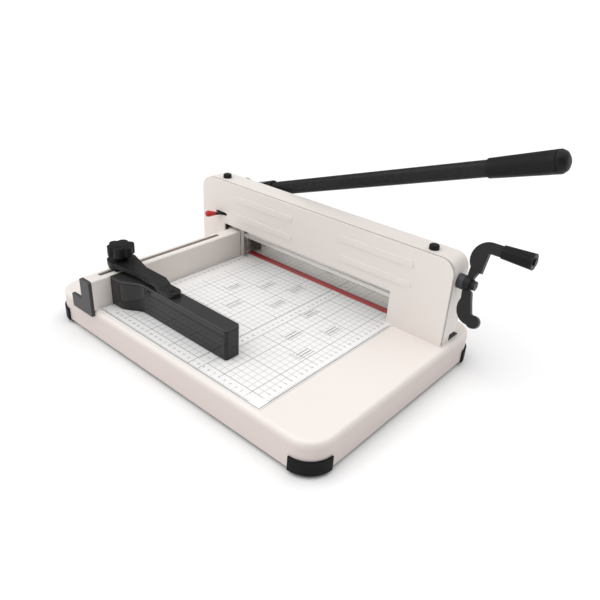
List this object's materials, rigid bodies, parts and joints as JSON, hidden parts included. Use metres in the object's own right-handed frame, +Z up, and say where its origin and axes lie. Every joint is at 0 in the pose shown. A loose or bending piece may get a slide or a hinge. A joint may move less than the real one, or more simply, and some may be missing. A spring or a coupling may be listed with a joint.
{
  "type": "guillotine paper cutter",
  "caption": "Desk guillotine for paper stacks: gridded table with side fence and sliding back gauge, crank-driven clamp under an arched head, and a long lever that draws the blade down.",
  "frame": {"origin": "On the desk surface, in the middle of the whole outline with the blade lever at rest", "axes": "+X runs along the cut from the side fence to the crank, +Y from the operator to the back, +Z up"},
  "size_m": [0.6244, 0.3922, 0.3438],
  "materials": {
    "cream_paint": "satin powder coat, warm off-white",
    "board_print": "white board with a grey printed measuring grid",
    "foot_rubber": "matt",
    "black_plastic": "fine grain, satin",
    "smoke_plastic": "polished smoky black",
    "black_metal": "semi-gloss black",
    "red_plastic": "satin",
    "clamp_aluminium": "brushed along its length",
    "plate_steel": "oiled, brushed",
    "dark_iron": "dark, machined faces",
    "bearing_brass": "turned",
    "gear_steel": "oiled",
    "screw_zinc": "zinc plated",
    "blade_steel": "ground and polished"
  },
  "bodies": {
    "base": {"tray": "cream_paint", "grid_board": "board_print", "foot_front_left": "foot_rubber", "foot_front_right": "foot_rubber", "foot_rear_left": "foot_rubber", "foot_rear_right": "foot_rubber", "fence_rail": "cream_paint", "fence_end_cap": "black_plastic", "fence_screws": "screw_zinc", "stick_channel": "plate_steel", "cutting_stick": "red_plastic", "stick_wedge": "black_plastic", "front_plate": "cream_paint", "guide_plate": "dark_iron", "head_case": "cream_paint", "column_left": "dark_iron", "column_right": "dark_iron", "back_plate": "plate_steel", "clamp_guides": "clamp_aluminium", "screw_bearings": "dark_iron", "cap_left": "black_plastic", "cap_right": "black_plastic", "crank_bush": "dark_iron", "pivot_bush": "dark_iron", "case_screws": "screw_zinc", "lever_bracket": "black_plastic"},
    "lever": {"lever_arm": "black_metal", "lever_tip": "red_plastic"},
    "clamp": {"clamp_bar": "clamp_aluminium", "clamp_nuts": "bearing_brass"},
    "screw_left": {"clamp_screw_left": "plate_steel", "screw_gear_left": "gear_steel"},
    "screw_right": {"clamp_screw_right": "plate_steel", "screw_gear_right": "gear_steel"},
    "crank": {"cross_shaft": "plate_steel", "shaft_gears": "gear_steel", "crank_arm": "black_metal", "crank_bolt": "black_metal", "grip_spindle": "black_metal"},
    "grip": {"crank_grip": "black_plastic"},
    "blade": {"blade": "blade_steel", "blade_carrier": "plate_steel", "blade_screws": "screw_zinc", "guide_bolts": "screw_zinc"},
    "handle": {"pivot_shaft": "plate_steel", "drive_arm": "plate_steel", "drive_roller": "bearing_brass", "handle_hub": "black_metal", "handle_tube": "black_metal", "handle_grip": "black_plastic", "handle_end_cap": "black_plastic", "hub_screws": "screw_zinc"},
    "gauge": {"gauge_block": "smoke_plastic", "gauge_lid": "smoke_plastic", "gauge_strap": "black_metal", "strap_screw": "black_metal", "gauge_shoe": "black_metal", "gauge_t_nut": "plate_steel"},
    "knob": {"gauge_knob": "black_plastic", "gauge_stud": "plate_steel"}
  },
  "joints": [
    {"name": "handle_swing", "type": "hinge", "parent": "base", "child": "handle", "pos_m": [-0.24663, 0.16145, 0.15], "axis": [0, -1, 0], "range_deg": [0, 50]},
    {"name": "blade_slide", "type": "slide", "parent": "base", "child": "blade", "axis": [0.3939, 0, 0.9191], "range_m": [0, 0.0457]},
    {"name": "crank_turn", "type": "hinge", "parent": "base", "child": "crank", "pos_m": [0.23137, 0.12145, 0.153], "axis": [1, 0, 0], "range_deg": [0, 2292]},
    {"name": "clamp_slide", "type": "slide", "parent": "base", "child": "clamp", "axis": [0, 0, -1], "range_m": [0, 0.0382]},
    {"name": "screw_left_turn", "type": "hinge", "parent": "base", "child": "screw_left", "pos_m": [-0.24563, 0.12145, 0.1], "axis": [0, 0, 1], "range_deg": [0, 2292]},
    {"name": "screw_right_turn", "type": "hinge", "parent": "base", "child": "screw_right", "pos_m": [0.17537, 0.12145, 0.1], "axis": [0, 0, 1], "range_deg": [0, 2292]},
    {"name": "grip_spin", "type": "hinge", "parent": "crank", "child": "grip", "pos_m": [0.28137, 0.14668, 0.20187], "axis": [1, 0, 0], "continuous": true},
    {"name": "gauge_slide", "type": "slide", "parent": "base", "child": "gauge", "axis": [0, 1, 0], "range_m": [-0.025, 0.18]},
    {"name": "knob_turn", "type": "hinge", "parent": "gauge", "child": "knob", "pos_m": [-0.21113, -0.12805, 0.12], "axis": [0, 0, 1], "range_deg": [0, 720]},
    {"name": "lever_swing", "type": "hinge", "parent": "base", "child": "lever", "pos_m": [-0.22863, 0.11195, 0.125], "axis": [0, 0, 1], "range_deg": [0, 20], "stiffness_Nm_per_rad": 0.05}
  ],
  "couplings": [
    {"joint": "blade_slide", "follows": "handle_swing", "m_per_rad": 0.052363},
    {"joint": "clamp_slide", "follows": "crank_turn", "m_per_rad": 0.00095493},
    {"joint": "screw_left_turn", "follows": "crank_turn", "ratio": 1},
    {"joint": "screw_right_turn", "follows": "crank_turn", "ratio": 1}
  ]
}
